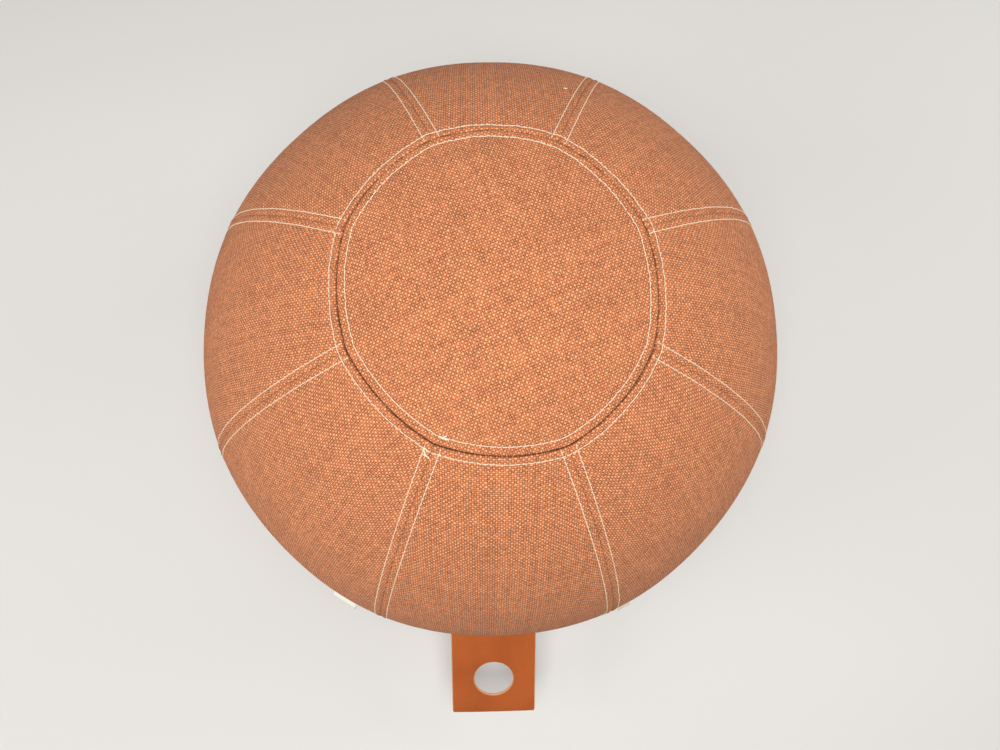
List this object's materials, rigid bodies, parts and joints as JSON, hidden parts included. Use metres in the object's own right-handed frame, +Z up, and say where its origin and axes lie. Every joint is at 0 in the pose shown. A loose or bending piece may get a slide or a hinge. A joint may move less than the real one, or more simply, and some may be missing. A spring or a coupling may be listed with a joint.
{
  "type": "pouf",
  "caption": "Ball-shaped pouf: an inflated bladder inside a coarse woven cover of sewn gore panels with contrast topstitching, a zip round the waist and a leather pull tab with a finger hole.",
  "frame": {"origin": "centre of the flat foot, on the floor", "axes": "+Z up, -Y towards the front where the leather tab is, +X to the right seen from the front"},
  "size_m": [0.65, 0.7858, 0.605],
  "materials": {
    "cover_fabric": "matte",
    "thread": "matte",
    "seam_tape": "matte",
    "base_fabric": "matte",
    "weight_rubber": "matte",
    "base_lining": "matte",
    "bladder": "satin",
    "valve": "satin",
    "zip_tape": "matte",
    "zip_coil": "satin",
    "zip_metal": "satin",
    "zip_pull": "satin",
    "tab_leather": "satin",
    "label": "matte"
  },
  "bodies": {
    "pouf": {"seat_panel": "cover_fabric", "side_panel_1": "cover_fabric", "side_panel_2": "cover_fabric", "side_panel_3": "cover_fabric", "side_panel_4": "cover_fabric", "side_panel_5": "cover_fabric", "side_panel_6": "cover_fabric", "side_panel_7": "cover_fabric", "side_panel_8": "cover_fabric", "lower_panel_1": "cover_fabric", "lower_panel_2": "cover_fabric", "lower_panel_3": "cover_fabric", "lower_panel_4": "cover_fabric", "lower_panel_5": "cover_fabric", "lower_panel_6": "cover_fabric", "lower_panel_7": "cover_fabric", "lower_panel_8": "cover_fabric", "side_seam_tapes": "seam_tape", "lower_seam_tapes": "seam_tape", "ring_seam_tape": "seam_tape", "side_stitching": "thread", "lower_stitching": "thread", "ring_stitching": "thread", "waist_stitching": "thread", "base_panel": "base_fabric", "base_weight": "weight_rubber", "base_lining": "base_lining", "air_bladder": "bladder", "valve_plug": "valve", "upper_zip_tape": "zip_tape", "lower_zip_tape": "zip_tape", "upper_zip_coil": "zip_coil", "lower_zip_coil": "zip_coil", "zip_stops": "zip_metal", "tab_root": "tab_leather", "care_label": "label", "size_label": "label"},
    "zip_slider": {"zip_slider": "zip_metal"},
    "zip_pull": {"zip_pull": "zip_pull"},
    "pull_tab": {"pull_tab": "tab_leather"}
  },
  "joints": [
    {"name": "zip_travel", "type": "hinge", "parent": "pouf", "child": "zip_slider", "pos_m": [0, 0, 0.17], "axis": [0, 0, 1], "range_deg": [0, 275]},
    {"name": "zip_pull_swing", "type": "hinge", "parent": "zip_slider", "child": "zip_pull", "pos_m": [0.20239, -0.23308, 0.16897], "axis": [-0.7551, -0.6557, 0], "range_deg": [-15, 150]},
    {"name": "tab_bend", "type": "hinge", "parent": "pouf", "child": "pull_tab", "pos_m": [0, -0.31082, 0.17], "axis": [-1, 0, 0], "range_deg": [-60, 70], "stiffness_Nm_per_rad": 0.6, "springref_deg": 4.44}
  ]
}
